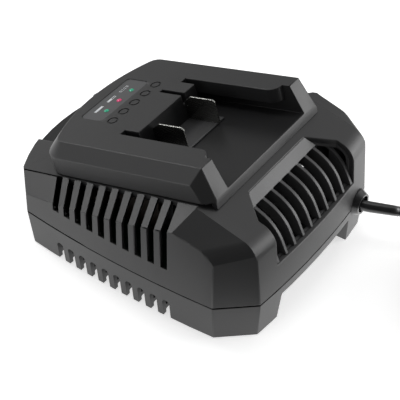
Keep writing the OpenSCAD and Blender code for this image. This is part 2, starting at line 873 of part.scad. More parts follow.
// Battery outlines that are full and half full, and one of dashes
module label_icons() {
  low = -label_sink - icon_t;
  top = -label_sink;
  color("white")
    tilted()
      for (k = [0:2])
        translate([icon_u, led_spots[k], 0]) {
          difference() {
            block([-0.75, -3.05, low], [0.75, 3.05, top]);
            block([-0.52, -2.82, low - 1], [0.52, 2.82, top + 1]);
            if (k == 2)
              for (y = [-1.6, 0, 1.6])
                block([-1, y - 0.3, low - 1], [1, y + 0.3, top + 1]);
          }
          if (k < 2)
            block([-0.35, -2.6, low], [0.35, 2.6 - 2.6 * k, top]);
        }
}

// Indicator light on its board, with a domed tip in the label
module indicator_light(y) {
  tilted()
    translate([led_u, y, indicator_w]) {
      cylinder(h = 1, r = led_d / 2 + 0.4);
      cylinder(h = -indicator_w, r = led_d / 2);
    }
}

module green_leds() {
  color("#2fae78")
    for (y = [led_spots[0], led_spots[2]])
      indicator_light(y);
}

module red_led() {
  color("#d8407a")
    indicator_light(led_spots[1]);
}

module indicator_board() {
  half_w = label_w / 2 - 0.2;
  color(board_green)
    tilted()
      difference() {
        block([label_u - 6, -half_w, indicator_w - 1.2], [label_u + 6, half_w, indicator_w]);
        for (sy = [-1, 1])
          translate([label_u, sy * 13, -far / 8])
            cylinder(h = far / 8, r = 0.8);
      }
}

// Flat blade with a tail that goes down through the channel floor
module contact(side) {
  low = -channel_d + pad_t;
  blade = [
    [-block_u, low], [-blade_u, low], [-blade_u, -1.9], [-blade_u - 1.2, -0.7], [-block_u + 4.6, -0.7],
    [-block_u, -4]
  ];
  color(steel)
    tilted() {
      profile_plate(blade, side * blade_gap / 2, blade_t);
      block([-blade_u - 15, side * blade_gap / 2 - blade_t / 2, -dock_t - 3],
        [-blade_u - 7, side * blade_gap / 2 + blade_t / 2, low]);
    }
}

module contact_positive() {
  contact(1);
}

module contact_negative() {
  contact(-1);
}

module contact_carrier() {
  half_w = blade_gap / 2 + 5.3;
  color(darker)
    tilted()
      difference() {
        block([-block_u, -half_w, -channel_d], [-blade_u - 1.5, half_w, -channel_d + pad_t]);
        both_sides()
          block([-blade_u - 15.1, -blade_gap / 2 - blade_t / 2 - 0.05, -dock_t],
            [-blade_u - 6.9, -blade_gap / 2 + blade_t / 2 + 0.05, 0]);
      }
}

module circuit_board() {
  color(board_green)
    difference() {
      translate([board_x - board_l / 2, -board_w / 2, board_z])
        cube([board_l, board_w, board_t]);
      for (p = board_spots)
        translate([p[0], p[1], 0])
          cylinder(h = body_h, r = screw_r);
    }
}

// Places of the parts on the circuit board, and the roof's height over them
transformer_at = [board_x - 7, -16];
bulk_at = [board_x - 31, 18];
sink_at = [board_x + 5, 20];
roof_under_channel = channel_d + dock_wall;
roof_under_recess = dock_t + recess_d + wall;
function roof_z(x, depth) = body_h - (dock_x - x) * tan(tilt) - depth / cos(tilt);
core_h = roof_z(transformer_at[0] - core_l / 2, roof_under_channel) - board_top - 5;
bulk_h = roof_z(bulk_at[0] - bulk_r, roof_under_recess) - board_top - 1;
sink_h = roof_z(sink_at[0] - sink_l / 2, roof_under_channel) - board_top - 10;

module transformer_core() {
  leg = core_l / 4;
  color("#4b4b4d")
    translate([transformer_at[0], transformer_at[1], board_top])
      difference() {
        block([-core_l / 2, -6, 3], [core_l / 2, 6, core_h]);
        for (sx = [-1, 1])
          block([sx * leg - 4, -7, 7], [sx * leg + 4, 7, core_h - 4]);
      }
}

module transformer_winding() {
  half_w = winding_w / 2;
  color(copper)
    translate([transformer_at[0], transformer_at[1], board_top])
      difference() {
        union() {
          block([-12, -half_w, 7.2], [12, half_w, core_h - 4.2]);
          block([-10, -half_w + 1, 0], [10, -6.2, 8]);
          block([-10, 6.2, 0], [10, half_w - 1, 8]);
        }
        block([-4.6, -6.1, 0], [4.6, 6.1, core_h]);
        for (sx = [-1, 1])
          block([sx * core_l / 2 - 4.6, -6.1, 0], [sx * core_l / 2 + 4.6, 6.1, core_h]);
      }
}

module upright(x, y, r, h) {
  translate([x, y, board_top])
    cylinder(h = h, r = r);
}

module bulk_capacitor() {
  color("#27303f")
    difference() {
      upright(bulk_at[0], bulk_at[1], bulk_r, bulk_h);
      translate([bulk_at[0], bulk_at[1], board_top + bulk_h - 0.4])
        for (turn = [0, 90])
          rotate([0, 0, turn])
            block([-bulk_r + 3, -0.4, 0], [bulk_r - 3, 0.4, 1]);
    }
}

module output_capacitors() {
  color("#1f2a44")
    for (k = [0:2])
      upright(board_x + 23, -30 + 12 * k, output_r, output_h);
}

module filter_choke() {
  color(copper)
    translate([board_x - 35, -20, board_top + choke_r + 0.5])
      rotate_extrude()
        translate([choke_ring, 0])
          circle(r = choke_r, $fn = 32);
}

module heat_sink() {
  plate = 3;
  pitch = (sink_l - 1.6) / 7;
  color("#a9adb2")
    translate([sink_at[0] - sink_l / 2, sink_at[1], board_top]) {
      block([0, 0, 0], [sink_l, plate, sink_h]);
      for (k = [0:7])
        block([pitch * k, plate, 2], [pitch * k + 1.6, plate + sink_d, sink_h]);
    }
}

module power_transistors() {
  color(black)
    for (x = [-12, 10])
      translate([sink_at[0] + x, sink_at[1], board_top]) {
        block([-transistor_w / 2, -4.5, 6], [transistor_w / 2, 0, min(21, sink_h)]);
        for (leg = [-2.5, 0, 2.5])
          block([leg - 0.4, -2.6, 0], [leg + 0.4, -2, 6]);
      }
}

module fuse() {
  clip_t = 2;
  color("#e4e2da")
    translate([board_front - 20, 34, board_top + 3])
      rotate([0, 90, 0]) {
        cylinder(h = fuse_l, r = 2.5);
        for (x = [0, fuse_l - clip_t])
          block([-3, -2.9, x], [3, 2.9, x + clip_t]);
      }
}

module suppressor_capacitor() {
  color("#c9a227")
    translate([board_front - 14, 12, board_top])
      block([-4, -suppressor_w / 2, 0], [4, suppressor_w / 2, 14]);
}

module fan_cradle() {
  half_t = fan_t / 2 + cradle_t;
  half_w = fan_w / 2 + 2;
  seat_z = base_top + cradle_h;
  color(darker)
    difference() {
      block([fan_x - half_t, -half_w, base_top], [fan_x + half_t, half_w, fan_z - 4]);
      block([fan_x - fan_t / 2, -fan_w / 2, seat_z], [fan_x + fan_t / 2, fan_w / 2, body_h]);
      block([fan_x - fan_t, 5 - half_w, seat_z + 3], [fan_x + fan_t, half_w - 5, body_h]);
    }
}

module along_x(x, z) {
  translate([x, 0, z])
    rotate([0, 90, 0])
      children();
}

module fan_frame() {
  spoke = 1.6;
  back = fan_x - fan_t / 2;
  color(black)
    difference() {
      union() {
        difference() {
          block([back, -fan_w / 2, fan_z - fan_w / 2], [back + fan_t, fan_w / 2, fan_z + fan_w / 2]);
          along_x(back - 1, fan_z)
            cylinder(h = fan_t + 2, r = fan_bore_r);
        }
        along_x(back, fan_z)
          cylinder(h = spoke, r = hub_r);
        for (turn = [0:90:270])
          translate([0, 0, fan_z])
            rotate([turn + 45, 0, 0])
              block([back, -1.2, 0], [back + spoke, 1.2, fan_bore_r + 1]);
        along_x(back, fan_z)
          cylinder(h = fan_t - 1, r = shaft_r);
      }
      for (sy = [-1, 1])
        for (sz = [-1, 1])
          translate([back - 1, sy * (fan_w / 2 - 3.5), fan_z + sz * (fan_w / 2 - 3.5)])
            rotate([0, 90, 0])
              cylinder(h = fan_t + 2, r = 1.6);
    }
}

module fan_rotor() {
  back = fan_x - fan_t / 2 + 2.4;
  depth = fan_t - 3.6;
  color("#222426")
    difference() {
      union() {
        along_x(back, fan_z)
          cylinder(h = depth, r = hub_r);
        for (k = [0:fan_blades - 1])
          translate([back + depth / 2, 0, fan_z])
            rotate([360 * k / fan_blades, 0, 0])
              rotate([0, 0, 35])
                block([-0.6, -4, hub_r - 1], [0.6, 4, rotor_r - 0.6]);
      }
      along_x(back - 1, fan_z)
        cylinder(h = fan_t, r = shaft_r + shaft_gap);
    }
}

module housing_screws() {
  color(steel)
    at_screws()
      translate([0, 0, 3 * floor_z]) {
        cylinder(h = parting_z + post_h - 3 * floor_z - 2, r = screw_r);
        translate([0, 0, -2])
          difference() {
            cylinder(h = 2, r = screw_head_r);
            for (turn = [0, 90])
              rotate([0, 0, turn])
                block([-1.6, -0.4, -1], [1.6, 0.4, 1]);
          }
      }
}

module board_screws() {
  color(steel)
    for (p = board_spots)
      translate([p[0], p[1], board_top])
        difference() {
          union() {
            translate([0, 0, -board_t - board_gap])
              cylinder(h = board_t + board_gap, r = 1);
            cylinder(h = 1.6, r = 2.4);
          }
          for (turn = [0, 90])
            rotate([0, 0, turn])
              block([-1.4, -0.3, 1], [1.4, 0.3, 2]);
        }
}

module rubber_feet() {
  color(black)
    both_sides()
      for (x = foot_x)
        translate([x, foot_y, 0])
          cylinder(h = floor_z, r = foot_r);
}

// Turned collar in the cord hole, with a nut inside the wall
module cord_gland() {
  lip = 3;
  bore = gland_r - 2.4;
  profile = [
    [bore - 1.2, -5], [hole_r + 1.6, -5], [hole_r + 1.6, -3.4], [hole_r, -3.4], [hole_r, 0],
    [gland_r, 0], [gland_r, 1.2], [gland_r - 1.4, 1.2 + lip], [bore, 1.2 + lip], [bore, 1], [bore - 1.2, 0]
  ];
  color(black)
    translate([gland_x, cord_y, parting_z])
      rotate([0, 90, 0])
        rotate_extrude()
          polygon(profile);
}

lead_path = smooth(lead_route, 3);
relief_last = 3 * relief_spans;

module strain_relief() {
  color(black)
    tube([for (i = [0:relief_last]) lead_path[i]], cord_d / 2 + 0.5, cord_d / 2 + 0.1, 12);
}

module power_cord() {
  color(black)
    tube([for (i = [relief_last:len(lead_path) - 1]) lead_path[i]], cord_d / 2, cord_d / 2);
}

module cord_coil() {
  color(black)
    translate([coil_c[0], coil_c[1], 0])
      rotate_extrude()
        translate([coil_r - coil_half, 0])
          square(2 * coil_half);
}

module cord_tail() {
  color(black)
    tube(smooth(tail_route, 3), cord_d / 2, cord_d / 2);
}

module cord_tie() {
  strap = 1.2;
  half_l = 4;
  near = coil_r - coil_half;
  away = coil_r + coil_half;
  color("#111213")
    translate([coil_c[0], coil_c[1], 0])
      rotate([0, 0, 45])
        difference() {
          block([near - strap, -half_l, 0], [away + strap, half_l, 2 * coil_half + strap]);
          block([near, -half_l - 1, strap / 2], [away, half_l + 1, 2 * coil_half]);
        }
}

// Places on the plug, from the lead's end towards the pins
plug_at = tail_route[len(tail_route) - 1];

module on_plug() {
  translate(plug_at)
    rotate([0, 0, -90])
      children();
}

module plug_body() {
  half_w = plug_w / 2;
  half_h = plug_h / 2;
  wide = plug_neck + plug_l / 2;
  end = plug_neck + plug_l;
  color(black)
    on_plug() {
      rotate([0, 90, 0])
        rotate_extrude()
          polygon([[0, 0], [cord_d / 2 + 0.7, 0], [cord_d / 2 + 2, plug_neck], [0, plug_neck]]);
      hull() {
        block([plug_neck, -plug_w / 4, -plug_h / 3], [plug_neck + 1, plug_w / 4, plug_h / 3]);
        block([wide, -half_w, 2 - half_h], [end, half_w, half_h - 2]);
        block([wide, 2 - half_w, -half_h], [end, half_w - 2, half_h]);
      }
    }
}

module plug_pins() {
  color("#c8a15a")
    on_plug()
      for (side = [-1, 1])
        translate([plug_neck + plug_l, side * 6.35, 0])
          difference() {
            block([0, -0.75, -3.15], [16, 0.75, 3.15]);
            translate([12.5, 1, 0])
              rotate([90, 0, 0])
                cylinder(h = 2, r = 1.6);
          }
}

// Soldered or crimped leads inside the housing
module lead(route, r) {
  tube(smooth(route, 3), r, r, 8, [0, 1, 0]);
}

module cord_clamp() {
  color(darker)
    difference() {
      block([gland_x - 16, cord_y - 5, base_top], [gland_x - 8, cord_y + 5, parting_z + 5]);
      translate([gland_x - 20, cord_y, parting_z])
        rotate([0, 90, 0])
          cylinder(h = 20, r = cord_d / 2 + 0.6);
    }
}

module mains_leads() {
  start = lead_route[0];
  low = start - [32, 10, parting_z - board_top - 1];
  color("#8a5a2b") {
    tube([start, start - [8, 0, 0], start - [16, 0, 0]], cord_d / 2 + 0.5, cord_d / 2 + 0.5);
    for (side = [-1, 1])
      tube(smooth([
        start + [-16, side * 1.2, 0], start + [-22, side * 2, -0.5],
        start + [-28, 2 * side - 4, -4], low + [0, 3 * side, 0]
      ], 3), 1, 1, 8);
  }
}

module output_leads() {
  tail_point = world([-blade_u - 11, blade_gap / 2, -dock_t - 3]);
  color("#a02020")
    for (side = [-1, 1])
      lead([
        [tail_point[0], side * tail_point[1], tail_point[2]],
        [tail_point[0] + 6, side * 11, tail_point[2] - 9],
        [tail_point[0] + 9, side * 9, board_top + 14], [tail_point[0] + 10, side * 7, board_top + 1]
      ], 1.1);
}

module fan_leads() {
  back = fan_x - fan_t / 2 - 1.2;
  color("#303030")
    for (side = [-1, 1]) {
      y = -14 + 1.4 * side;
      lead([
        [back, y, fan_z + 12], [back - 4, y, fan_z + 4], [back - 10, y, board_top + 8],
        [back - 12, y, board_top + 1]
      ], 0.6);
    }
}

lower_shell();
upper_shell();
dock_cover();
front_louvre();
status_label();
label_icons();
green_leds();
red_led();
indicator_board();
contact_positive();
contact_negative();
contact_carrier();
circuit_board();
transformer_core();
transformer_winding();
bulk_capacitor();
output_capacitors();
filter_choke();
heat_sink();
power_transistors();
fuse();
suppressor_capacitor();
fan_cradle();
fan_frame();
fan_rotor();
housing_screws();
board_screws();
rubber_feet();
cord_gland();
strain_relief();
cord_clamp();
mains_leads();
output_leads();
fan_leads();
power_cord();
cord_coil();
cord_tail();
cord_tie();
plug_body();
plug_pins();
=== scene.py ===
"""A desktop charger for slide-on tool batteries: its housing, dock, lights, mains lead and stage."""

import math

import bmesh
import bpy
from mathutils import Matrix, Vector


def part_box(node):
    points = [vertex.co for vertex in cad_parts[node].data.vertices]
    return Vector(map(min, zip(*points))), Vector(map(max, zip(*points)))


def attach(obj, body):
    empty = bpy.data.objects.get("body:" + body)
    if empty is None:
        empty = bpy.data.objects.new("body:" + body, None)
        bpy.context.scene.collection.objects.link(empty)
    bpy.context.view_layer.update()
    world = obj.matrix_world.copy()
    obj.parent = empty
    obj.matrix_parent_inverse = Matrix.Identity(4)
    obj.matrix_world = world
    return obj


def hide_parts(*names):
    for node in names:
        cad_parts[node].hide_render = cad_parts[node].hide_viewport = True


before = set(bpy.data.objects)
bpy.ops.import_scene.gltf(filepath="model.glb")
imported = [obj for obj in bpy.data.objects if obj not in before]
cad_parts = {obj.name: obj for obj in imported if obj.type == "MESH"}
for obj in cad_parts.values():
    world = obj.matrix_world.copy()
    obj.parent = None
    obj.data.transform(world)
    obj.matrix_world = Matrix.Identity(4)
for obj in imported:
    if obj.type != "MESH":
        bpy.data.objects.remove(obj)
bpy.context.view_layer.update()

bl_info = {
    "name": "Tool battery charger",
    "version": (1, 0, 0),
    "blender": (4, 5, 0),
    "location": "3D View > Sidebar > Charger",
    "description": "Builds the visible pieces of a desktop charger over its frame",
    "category": "Object",
}

MM = 0.001
BODY = "charger"

# The dock: its tilt, its top front edge in metres, and its row of lights in millimetres
TILT = math.radians(16)
DOCK_EDGE = Vector((0.039, 0, 0.081))
LIGHT_U = -81.3
LIGHT_PITCH = 10

# Joints, the recess and smooth faces, in millimetres: heights, or spans along, across and away from the dock;
# the joints, the recess and the dock's front strip are darkened there as painted shade
PARTING = 22
PARTING_HALF = 0.26
PARTING_INSIDE = 50
CREASE = 47
CREASE_HALF = 0.5
CREASE_FRONT = -83
CREASE_TOP = -16.1
RECESS_FRONT = -95
RECESS_TOP = -17.5
CHANNEL_LENGTH = (-60, 4.9)
CHANNEL_HALF = 32.4
CHANNEL_DEPTH = (-14.7, -0.6)
DOCK_FOOT = (-16.1, -15.4)

# The fewest rounding widths that a rounded edge, its neighbours and the faces beside it measure
LEAST_EDGE = 3
LEAST_NEIGHBOUR = 1.1
LEAST_FACE = 2.6

# The studio: name, place, size and power of each lamp, and directions of its bright and black sides
SOFTBOXES = (
    ("left_softbox", (-0.44, -0.04, 0.42), 0.12, 0.85), ("right_softbox", (0.8, 0.62, 0.24), 0.5, 6.0),
    ("low_softbox", (-0.3, -1.0, 0.12), 0.5, 2.8), ("top_softbox", (-0.1, 0.2, 1.1), 0.5, 2.4))
LAMP_AIM = Vector((0.01, 0, 0.04))
BRIGHT_SIDE = (0.8, 0.6, 0.0)
BRIGHT_GAIN = 1.7
SCREEN_SIDE = (0.45, -0.6, 0.66)
SCREEN_FLOOR = (0.72, -0.69, 0.0)
SCREEN_EDGE = (0.35, 0.82)
SCREEN_REACH = (0.1, 0.125)
BACK_SCREEN = (-0.26, 0.96, -0.1)
BACK_SCREEN_EDGE = (0.78, 0.96)
BACK_SCREEN_GLOSS = 0.1

# Screws in the base, in millimetres from the middle: along, and to each side
SCREW_PLACES = ((52, 46), (-54, 43))


# Sizes and colours that can be changed

class ChargerFinish(bpy.types.PropertyGroup):
    housing: bpy.props.FloatVectorProperty(
        name="Housing", description="Colour of the moulded shells",
        subtype="COLOR", size=3, min=0, max=1, default=(0.0145, 0.0145, 0.015))
    dock: bpy.props.FloatVectorProperty(
        name="Dock", description="Colour of the battery dock",
        subtype="COLOR", size=3, min=0, max=1, default=(0.0135, 0.0135, 0.014))
    trim: bpy.props.FloatVectorProperty(
        name="Louvre", description="Colour of the louvre fins and the contact carrier",
        subtype="COLOR", size=3, min=0, max=1, default=(0.036, 0.036, 0.037))
    # This colour also goes to the recess behind the dock, where a low-gloss material darkens it as painted
    # shade
    channel: bpy.props.FloatVectorProperty(
        name="Channel", description="Colour of the battery channel's smooth faces",
        subtype="COLOR", size=3, min=0, max=1, default=(0.014, 0.014, 0.0145))
    label: bpy.props.FloatVectorProperty(
        name="Label", description="Colour of the status label",
        subtype="COLOR", size=3, min=0, max=1, default=(0.062, 0.063, 0.065))
    cord: bpy.props.FloatVectorProperty(
        name="Mains lead", description="Colour of the mains lead and its plug",
        subtype="COLOR", size=3, min=0, max=1, default=(0.017, 0.017, 0.0175))
    grain_size: bpy.props.FloatProperty(
        name="Grain", description="Spacing of the moulded grain",
        subtype="DISTANCE", unit="LENGTH", min=0.0002, max=0.003, default=0.0006)


class ChargerSizes(bpy.types.PropertyGroup):
    edge_round: bpy.props.FloatProperty(
        name="Edge rounding", description="Rounding of the moulded edges",
        subtype="DISTANCE", unit="LENGTH", min=0.0001, max=0.002, default=0.0004)
    cord_diameter: bpy.props.FloatProperty(
        name="Lead diameter", description="Diameter of the mains lead",
        subtype="DISTANCE", unit="LENGTH", min=0.003, max=0.01, default=0.005)
    light_diameter: bpy.props.FloatProperty(
        name="Light diameter", description="Diameter of a status light",
        subtype="DISTANCE", unit="LENGTH", min=0.002, max=0.005, default=0.0026)


class ChargerStage(bpy.types.PropertyGroup):
    focal_length: bpy.props.FloatProperty(
        name="Focal length", description="Lens of the camera in millimetres",
        min=20, max=300, default=119.3)
    camera_place: bpy.props.FloatVectorProperty(
        name="Camera", description="Place of the camera",
        subtype="TRANSLATION", unit="LENGTH", size=3, default=(0.2944, -0.3961, 0.4627))
    azimuth: bpy.props.FloatProperty(
        name="Azimuth", description="Turn of the camera about the upright axis",
        subtype="ANGLE", unit="ROTATION", default=math.radians(34.71))
    elevation: bpy.props.FloatProperty(
        name="Elevation", description="How far the camera looks down",
        subtype="ANGLE", unit="ROTATION", default=math.radians(41.82))
    shift: bpy.props.FloatVectorProperty(
        name="Shift", description="Sideways and upward shift of the lens",
        size=2, default=(-0.044, -0.0348))
    floor: bpy.props.FloatVectorProperty(
        name="Floor", description="Colour of the floor",
        subtype="COLOR", size=3, min=0, max=1, default=(0.8, 0.8, 0.8))
    paper_glow: bpy.props.FloatProperty(
        name="Paper glow", description="Light that the floor paper adds towards the eye",
        min=0, max=1, default=0.6)
    paper_gloss: bpy.props.FloatProperty(
        name="Paper in a gloss", description="Light that the floor paper adds in a gloss",
        min=0, max=2, default=0.9)
    gloss: bpy.props.FloatProperty(
        name="Gloss light", description="Brightness of the studio seen in a gloss",
        min=0, max=2, default=0.85)
    sky: bpy.props.FloatProperty(
        name="Fill light", description="Soft light from all round", min=0, max=2, default=0.4)


def finish():
    return bpy.context.scene.charger_finish


def sizes():
    return bpy.context.scene.charger_sizes


# Meshes

def tilted(u, y, w):
    """A point given along the dock: u forward, y across, w away from its top, in millimetres."""
    x = u * math.cos(TILT) - w * math.sin(TILT)
    z = u * math.sin(TILT) + w * math.cos(TILT)
    return DOCK_EDGE + Vector((x, y, z)) * MM


def tilted_frame(u, y, w):
    """The turn and place that stand a piece on the dock at a point."""
    return Matrix.Translation(tilted(u, y, w)) @ Matrix.Rotation(-TILT, 4, "Y")


def along_dock(place):
    """How far a point is along, across and away from the dock's top, in millimetres."""
    x, y, z = (place - DOCK_EDGE) / MM
    return x * math.cos(TILT) + z * math.sin(TILT), y, z * math.cos(TILT) - x * math.sin(TILT)


def add_piece(name, mesh, material, *nodes):
    piece = bpy.data.objects.new(name, mesh)
    bpy.context.scene.collection.objects.link(piece)
    mesh.materials.clear()
    mesh.materials.append(material)
    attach(piece, BODY)
    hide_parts(*nodes)
    return piece


def mesh_from(bm, name):
    mesh = bpy.data.meshes.new(name)
    bm.to_mesh(mesh)
    bm.free()
    mesh.polygons.foreach_set("use_smooth", [True] * len(mesh.polygons))
    return mesh


def merged_copy(node):
    """A node's mesh with its loose triangles joined and its flat faces whole."""
    bm = bmesh.new()
    bm.from_mesh(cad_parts[node].data)
    bmesh.ops.remove_doubles(bm, verts=bm.verts, dist=0.00001)
    bmesh.ops.dissolve_degenerate(bm, edges=bm.edges, dist=0.00001)
    bmesh.ops.dissolve_limit(
        bm, angle_limit=math.radians(0.6), use_dissolve_boundaries=False,
        verts=bm.verts, edges=bm.edges)
    return bm


def mark_edges(bm, width, angle):
    """Gives bevel weight to the edges with room for a rounding between broad faces."""
    weights = bm.edges.layers.float.new("bevel_weight_edge")
    short = [edge for edge in bm.edges if edge.calc_length() < LEAST_NEIGHBOUR * width]
    cramped = {vert for edge in short for vert in edge.verts}
    for edge in bm.edges:
        if len(edge.link_faces) != 2 or edge.calc_face_angle(0) < math.radians(angle):
            continue
        if cramped.intersection(edge.verts):
            continue
        length = edge.calc_length()
        room = min(face.calc_area() / length for face in edge.link_faces)
        if length > LEAST_EDGE * width and room > LEAST_FACE * width:
            edge[weights] = 1


def split_crowded(bm, corners=60):
    """Cuts many-cornered rims and floors into triangles, so that a rounding can't fold them shut."""
    bmesh.ops.triangulate(bm, faces=[face for face in bm.faces if len(face.verts) > corners])


def rounded(piece, width):
    """Rounds a piece's marked edges and keeps its flat faces flat in the light."""
    bevel = piece.modifiers.new("edges", "BEVEL")
    bevel.width = width
    bevel.segments = 2
    bevel.limit_method = "WEIGHT"
    bevel.use_clamp_overlap = False
    bevel.miter_outer = "MITER_ARC"
    flat = piece.modifiers.new("normals", "WEIGHTED_NORMAL")
    flat.keep_sharp = True
    return piece


def sharpened(mesh, angle=24):
    """Keeps the light's breaks at a mesh's corners and blends it over its gentle bends."""
    bm = bmesh.new()
    bm.from_mesh(mesh)
    for edge in bm.edges:
        edge.smooth = edge.calc_face_angle(0) < math.radians(angle)
    bm.to_mesh(mesh)
    bm.free()


def darken_faces(piece, material, inside):
    """Gives the faces whose middle lies in a narrow joint, recess or channel another material; in the joints,
    the recess and the dock's front strip it is painted shade.
    """
    piece.data.materials.append(material)
    last = len(piece.data.materials) - 1
    for face in piece.data.polygons:
        if inside(face.center, face.normal):
            face.material_index = last


def moulded(name, node, material, width=None, angle=22):
    """A CAD node's shape with rounded edges, in place of the node."""
    width = width or sizes().edge_round
    bm = merged_copy(node)
    mark_edges(bm, width, angle)
    split_crowded(bm)
    mesh = mesh_from(bm, name)
    sharpened(mesh)
    piece = add_piece(name, mesh, material, node)
    return rounded(piece, width)


def turned_mesh(name, profile, steps=32, turn=None):
    """A closed turned shape from points (radius, height) in millimetres, bottom first."""
    bm = bmesh.new()
    rings = []
    for radius, height in profile:
        if radius == 0:
            rings.append([bm.verts.new((0, 0, height * MM))])
            continue
        rings.append([
            bm.verts.new((radius * math.cos(a) * MM, radius * math.sin(a) * MM, height * MM))
            for a in (2 * math.pi * k / steps for k in range(steps))])
    for low, high in zip(rings, rings[1:]):
        for k in range(steps):
            j = (k + 1) % steps
            if len(low) == 1:
                bm.faces.new((low[0], high[j], high[k]))
            elif len(high) == 1:
                bm.faces.new((low[k], low[j], high[0]))
            else:
                bm.faces.new((low[k], low[j], high[j], high[k]))
    bm.normal_update()
    if turn:
        bmesh.ops.transform(bm, matrix=turn, verts=bm.verts)
    return mesh_from(bm, name)


def repeat_tree():
    """Geometry nodes that stand a template on every point of a mesh."""
    tree = bpy.data.node_groups.new("Repeat on places", "GeometryNodeTree")
    sockets = (
        ("Places", "NodeSocketGeometry"), ("Template", "NodeSocketObject"), ("Size", "NodeSocketFloat"),
        ("Turn step", "NodeSocketFloat"), ("Finish", "NodeSocketMaterial"))
    for label, kind in sockets:
        tree.interface.new_socket(label, in_out="INPUT", socket_type=kind)
    tree.interface.new_socket("Geometry", in_out="OUTPUT", socket_type="NodeSocketGeometry")
    entry = tree.nodes.new("NodeGroupInput")
    template = tree.nodes.new("GeometryNodeObjectInfo")
    place = tree.nodes.new("GeometryNodeInstanceOnPoints")
    index = tree.nodes.new("GeometryNodeInputIndex")
    turn = tree.nodes.new("ShaderNodeMath")
    turn.operation = "MULTIPLY"
    axis = tree.nodes.new("ShaderNodeCombineXYZ")
    whole = tree.nodes.new("GeometryNodeRealizeInstances")
    finish_node = tree.nodes.new("GeometryNodeSetMaterial")
    leave = tree.nodes.new("NodeGroupOutput")
    links = (
        (entry.outputs["Template"], template.inputs["Object"]),
        (entry.outputs["Places"], place.inputs["Points"]),
        (template.outputs["Geometry"], place.inputs["Instance"]),
        (index.outputs["Index"], turn.inputs[0]),
        (entry.outputs["Turn step"], turn.inputs[1]),
        (turn.outputs[0], axis.inputs["Z"]),
        (axis.outputs["Vector"], place.inputs["Rotation"]),
        (entry.outputs["Size"], place.inputs["Scale"]),
        (place.outputs["Instances"], whole.inputs["Geometry"]),
        (whole.outputs["Geometry"], finish_node.inputs["Geometry"]),
        (entry.outputs["Finish"], finish_node.inputs["Material"]),
        (finish_node.outputs["Geometry"], leave.inputs["Geometry"]))
    for start, end in links:
        tree.links.new(start, end)
    return tree


def repeated(name, template_mesh, places, material, *nodes, turn_step=0.0):
    """A template stood on each place by the geometry nodes, baked to one plain mesh."""
    tree = bpy.data.node_groups.get("Repeat on places") or repeat_tree()
    template = bpy.data.objects.new(f"{name}_template", template_mesh)
    points = bpy.data.meshes.new(f"{name}_places")
    points.from_pydata([tuple(place) for place in places], [], [])
    holder = bpy.data.objects.new(f"{name}_holder", points)
    bpy.context.scene.collection.objects.link(holder)
    modifier = holder.modifiers.new("repeat", "NODES")
    modifier.node_group = tree
    values = {"Template": template, "Size": 1.0, "Turn step": turn_step, "Finish": material}
    for item in tree.interface.items_tree:
        if item.item_type == "SOCKET" and item.name in values:
            modifier[item.identifier] = values[item.name]
    evaluated = holder.evaluated_get(bpy.context.evaluated_depsgraph_get())
    mesh = bpy.data.meshes.new_from_object(evaluated)
    mesh.name = name
    holder.modifiers.remove(modifier)
    bpy.data.objects.remove(holder)
    bpy.data.objects.remove(template)
    mesh.polygons.foreach_set("use_smooth", [True] * len(mesh.polygons))
    sharpened(mesh, 35)
    return add_piece(name, mesh, material, *nodes)


# Shader helpers

def new_material(name):
    material = bpy.data.materials.get(name) or bpy.data.materials.new(name)
    material.use_nodes = True
    tree = material.node_tree
    tree.nodes.clear()
    shader = tree.nodes.new("ShaderNodeBsdfPrincipled")
    output = tree.nodes.new("ShaderNodeOutputMaterial")
    output.location = (300, 0)
    tree.links.new(shader.outputs["BSDF"], output.inputs["Surface"])
    return material, tree, shader


def object_coordinates(tree):
    return tree.nodes.new("ShaderNodeTexCoord").outputs["Object"]


def group_tree(name, inputs, outputs):
    """An empty shader node group with its sockets; inputs are (name, kind, default)."""
    tree = bpy.data.node_groups.new(name, "ShaderNodeTree")
    for label, kind, default in inputs:
        socket = tree.interface.new_socket(label, in_out="INPUT", socket_type=kind)
        if default is not None:
            socket.default_value = default
    for label, kind in outputs:
        tree.interface.new_socket(label, in_out="OUTPUT", socket_type=kind)
    entry = tree.nodes.new("NodeGroupInput")
    entry.location = (-600, 0)
    leave = tree.nodes.new("NodeGroupOutput")
    leave.location = (600, 0)
    return tree, entry, leave


def noise(tree, coordinates, scale, detail=2.0, roughness=0.5):
    node = tree.nodes.new("ShaderNodeTexNoise")
    node.inputs["Detail"].default_value = detail
    node.inputs["Roughness"].default_value = roughness
    if isinstance(scale, float):
        node.inputs["Scale"].default_value = scale
    else:
        tree.links.new(scale, node.inputs["Scale"])
    tree.links.new(coordinates, node.inputs["Vector"])
    return node.outputs["Fac"]


def math_node(tree, operation, a, b):
    node = tree.nodes.new("ShaderNodeMath")
    node.operation = operation
    for socket, value in zip(node.inputs, (a, b)):
        if isinstance(value, (int, float)):
            socket.default_value = value
        else:
            tree.links.new(value, socket)
    return node.outputs[0]


def between(tree, fac, low, high):
    node = tree.nodes.new("ShaderNodeMapRange")
    node.inputs["To Min"].default_value = low
    node.inputs["To Max"].default_value = high
    tree.links.new(fac, node.inputs["Value"])
    return node.outputs["Result"]


def two_tone(tree, mask, low, high):
    """A colour that a mask blends from one tone to another."""
    mix = tree.nodes.new("ShaderNodeMix")
    mix.data_type = "RGBA"
    mix.inputs["A"].default_value = (*low, 1)
    mix.inputs["B"].default_value = (*high, 1)
    tree.links.new(mask, mix.inputs["Factor"])
    return mix.outputs["Result"]


def toned(colour, gain):
    return [part * gain for part in colour]


